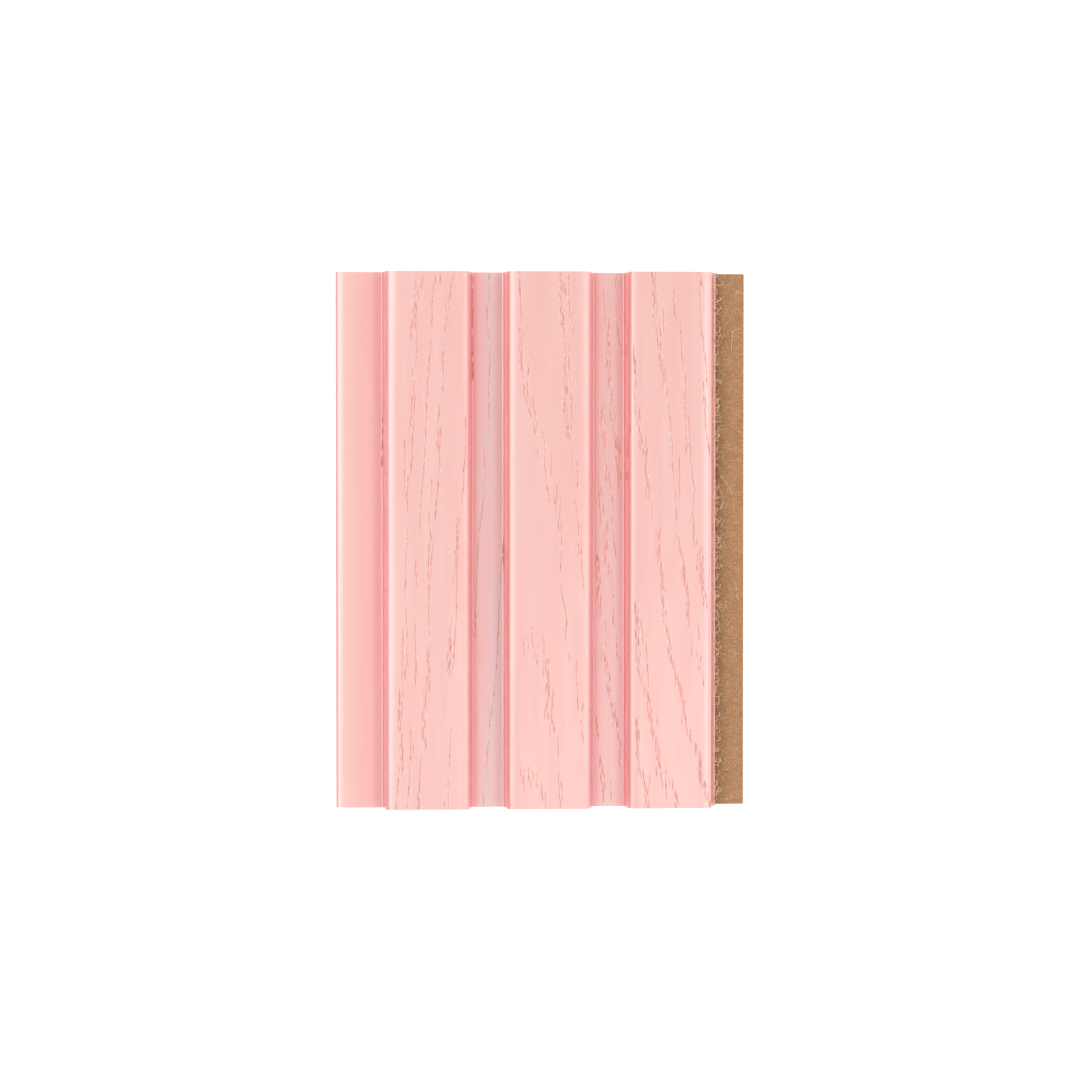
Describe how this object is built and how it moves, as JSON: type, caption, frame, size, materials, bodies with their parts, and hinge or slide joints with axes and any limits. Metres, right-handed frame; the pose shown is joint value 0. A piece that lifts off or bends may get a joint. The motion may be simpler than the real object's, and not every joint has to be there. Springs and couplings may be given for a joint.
{
  "type": "mdf wall panel",
  "caption": "Short length of slatted MDF wall panel wrapped in embossed wood-grain film, with a wrapped lip on one long edge and a slot over a raw nailing flange on the other.",
  "frame": {"origin": "middle of the panel's box, on the level of its back face", "axes": "+X across the slats from the wrapped lip to the raw flange, +Y along the slats, +Z out of the decorated face"},
  "size_m": [0.119, 0.155, 0.016],
  "materials": {
    "raw_mdf": "matte",
    "pink_film": "satin"
  },
  "bodies": {
    "root": {"mdf_board": "raw_mdf", "decor_film": "pink_film"}
  },
  "joints": []
}
